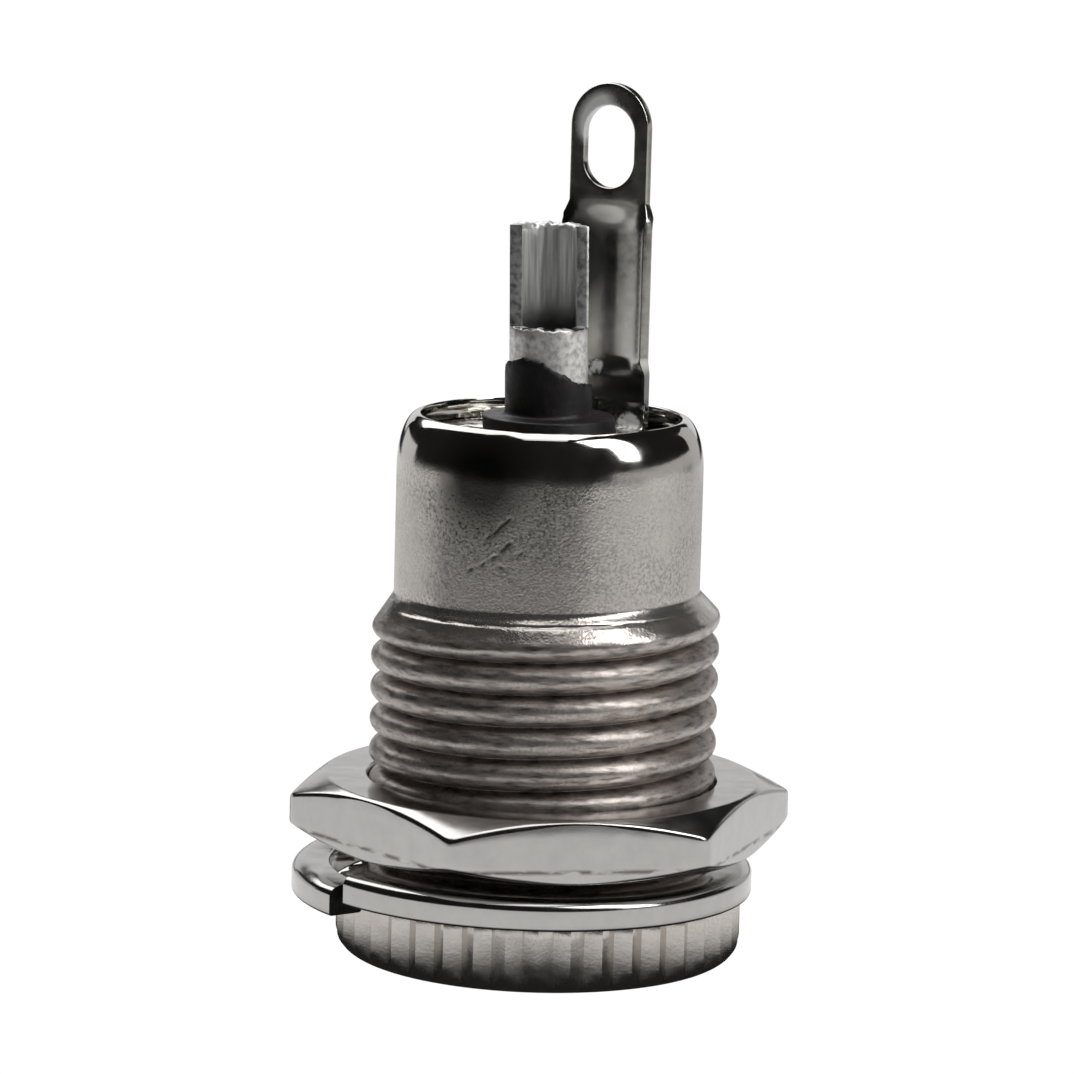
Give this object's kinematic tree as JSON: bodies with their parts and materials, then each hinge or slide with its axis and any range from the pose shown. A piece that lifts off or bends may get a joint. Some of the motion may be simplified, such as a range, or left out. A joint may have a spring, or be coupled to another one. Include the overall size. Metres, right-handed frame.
{
  "type": "dc barrel jack",
  "caption": "Panel-mount power jack: knurled head, threaded metal neck with hex nut and split washer, centre pin with solder cup, and a slotted solder lug.",
  "frame": {"origin": "centre of the flat front face of the knurled head, on the surface it stands on", "axes": "+Z along the jack's axis from the plug side to the solder terminals; the solder cup opens towards -Y; +X to the right seen from there"},
  "size_m": [0.0158, 0.015, 0.0272],
  "materials": {
    "shell_metal": "bright nickel plate over brass, slightly grainy",
    "nut_metal": "bright nickel plate over brass",
    "washer_metal": "nickel-plated spring steel",
    "black_insulator": "moulded, satin",
    "black_bush": "moulded, satin, torn edge",
    "pin_metal": "tinned brass, satin",
    "lug_metal": "tinned sheet brass, bright",
    "spring_metal": "spring bronze, satin"
  },
  "bodies": {
    "root": {"shell": "shell_metal", "hex_nut": "nut_metal", "lock_washer": "washer_metal", "insulator": "black_insulator", "rear_bush": "black_bush", "centre_pin": "pin_metal", "lug_terminal": "lug_metal", "sleeve_spring": "spring_metal"}
  },
  "joints": []
}
